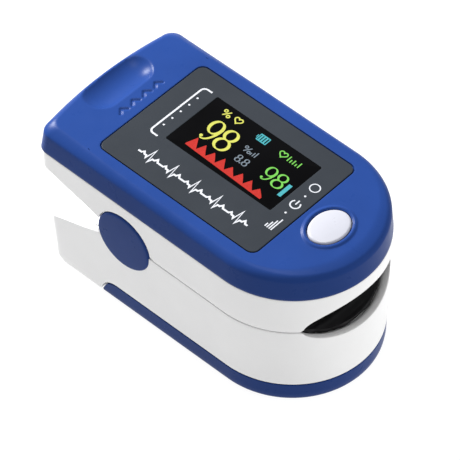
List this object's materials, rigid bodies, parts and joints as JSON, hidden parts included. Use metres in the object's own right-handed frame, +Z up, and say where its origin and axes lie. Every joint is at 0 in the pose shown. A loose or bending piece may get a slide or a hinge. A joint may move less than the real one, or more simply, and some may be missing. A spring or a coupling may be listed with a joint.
{
  "type": "fingertip pulse oximeter",
  "caption": "Fingertip clamp with a sprung rear hinge, screen and power button on top, black finger pads inside, and a battery door below.",
  "frame": {"origin": "middle of the closed device's footprint, on the surface it rests on", "axes": "+X to the right seen from the finger opening, +Y from the finger opening to the press end, +Z up through the screen"},
  "size_m": [0.0328, 0.0587, 0.0309],
  "materials": {
    "cover_blue": "satin moulded ABS",
    "label_grey": "printed acrylic label, glossy",
    "screen_black": "screen glass over a black panel",
    "circuit_board": "solder mask",
    "chip_black": "moulded epoxy",
    "capacitor_tan": "ceramic",
    "socket_ivory": "moulded nylon",
    "button_white": "glossy",
    "shell_white": "satin moulded ABS",
    "deck_white": "satin moulded ABS",
    "silicone_black": "matt moulded silicone",
    "led_resin": "clear resin",
    "clear_window": "clear, smooth",
    "screw_steel": "zinc plated",
    "spring_steel": "bright drawn",
    "contact_metal": "nickel plated",
    "cell_sleeve": "printed sleeve on a steel can",
    "flat_cable": "polyimide film",
    "lead_insulation": "PVC"
  },
  "bodies": {
    "lower": {"lower_shell": "shell_white", "lower_deck": "deck_white", "lower_pad": "silicone_black", "detector_board": "circuit_board", "photodiode": "chip_black", "detector_window": "clear_window", "deck_screws": "screw_steel", "battery_left": "cell_sleeve", "battery_right": "cell_sleeve", "battery_bridge": "contact_metal", "battery_spring": "contact_metal", "battery_plate": "contact_metal", "hinge_pin_left": "spring_steel", "hinge_pin_right": "spring_steel", "torsion_spring_left": "spring_steel", "torsion_spring_right": "spring_steel", "hinge_cap_left": "cover_blue", "hinge_cap_right": "cover_blue", "sensor_cable": "flat_cable", "battery_leads": "lead_insulation"},
    "upper": {"top_cover": "cover_blue", "display_lens": "label_grey", "display_module": "screen_black", "main_board": "circuit_board", "controller_chip": "chip_black", "amplifier_chip": "chip_black", "crystal_can": "spring_steel", "board_capacitors": "capacitor_tan", "cable_socket": "socket_ivory", "board_screws": "screw_steel", "switch_body": "chip_black", "upper_frame": "shell_white", "upper_pad": "silicone_black", "emitter_board": "circuit_board", "emitter_led": "led_resin", "emitter_window": "clear_window", "cover_screws": "screw_steel"},
    "button": {"power_button": "button_white", "switch_plunger": "chip_black"},
    "door": {"battery_door": "cover_blue"}
  },
  "joints": [
    {"name": "clamp_hinge", "type": "hinge", "parent": "lower", "child": "upper", "pos_m": [0, 0.0086, 0.0173], "axis": [-1, 0, 0], "range_deg": [0, 30], "stiffness_Nm_per_rad": 0.12, "springref_deg": -40.11, "deforming": ["torsion_spring_left", "torsion_spring_right", "sensor_cable", "battery_leads"]},
    {"name": "button_press", "type": "slide", "parent": "upper", "child": "button", "axis": [0, 0.0175, -0.9998], "range_m": [0, 0.0004], "stiffness_N_per_m": 1500, "springref_m": -0.0003},
    {"name": "door_slide", "type": "slide", "parent": "lower", "child": "door", "axis": [0, -1, 0], "range_m": [0, 0.046]}
  ]
}
